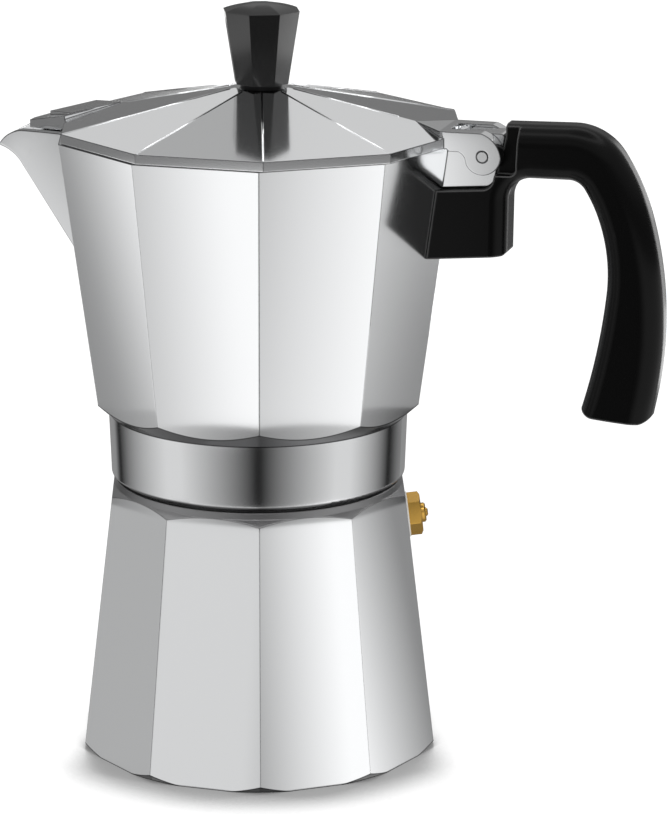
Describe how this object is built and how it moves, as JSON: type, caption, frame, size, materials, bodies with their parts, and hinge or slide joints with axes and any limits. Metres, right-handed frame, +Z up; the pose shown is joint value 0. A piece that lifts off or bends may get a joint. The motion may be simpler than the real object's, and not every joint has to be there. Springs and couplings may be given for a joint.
{
  "type": "moka pot",
  "caption": "Stove-top coffee pot: a faceted boiler with a safety valve, a funnel, and a screwed-on faceted collector with a pouring spout, hinged lid, knob and side handle.",
  "frame": {"origin": "centre of the boiler's underside, on the pot's axis", "axes": "+Z up along the pot's axis, +X towards the handle and the lid's hinge, -X towards the spout"},
  "size_m": [0.1838, 0.1044, 0.2027],
  "materials": {
    "cast_aluminium": "polished",
    "sheet_aluminium": "satin",
    "white_rubber": "matt",
    "valve_seal": "matt",
    "brass": "turned",
    "plunger_brass": "turned",
    "spring_steel": "plain",
    "steel": "plain",
    "black_plastic": "satin"
  },
  "bodies": {
    "boiler": {"boiler": "cast_aluminium", "valve_body": "brass", "valve_washer": "valve_seal", "valve_retainer": "brass", "valve_spring": "spring_steel"},
    "valve_plunger": {"valve_plunger": "plunger_brass"},
    "funnel": {"funnel_basket": "sheet_aluminium", "funnel_tube": "sheet_aluminium", "funnel_strainer": "sheet_aluminium"},
    "collector": {"collector": "cast_aluminium", "column": "cast_aluminium", "gasket": "white_rubber", "filter_plate": "sheet_aluminium", "handle": "black_plastic", "handle_screw": "steel", "hinge_pin": "steel"},
    "lid": {"lid": "cast_aluminium", "knob": "black_plastic", "knob_washer": "steel", "knob_screw": "steel"}
  },
  "joints": [
    {"name": "valve_lift", "type": "slide", "parent": "boiler", "child": "valve_plunger", "axis": [0.9445, 0.3069, 0.117], "range_m": [0, 0.001], "stiffness_N_per_m": 1500, "deforming": ["valve_spring"]},
    {"name": "funnel_rise", "type": "slide", "parent": "boiler", "child": "funnel", "axis": [0, 0, 1], "range_m": [0, 0.0051]},
    {"name": "collector_turn", "type": "hinge", "parent": "funnel", "child": "collector", "pos_m": [0, 0, 0.08], "axis": [0, 0, 1], "range_deg": [0, 450]},
    {"name": "lid_hinge", "type": "hinge", "parent": "collector", "child": "lid", "pos_m": [0.0636, 0, 0.1666], "axis": [0, 1, 0], "range_deg": [0, 93]}
  ],
  "couplings": [
    {"joint": "funnel_rise", "follows": "collector_turn", "m_per_rad": 0.00063662}
  ]
}
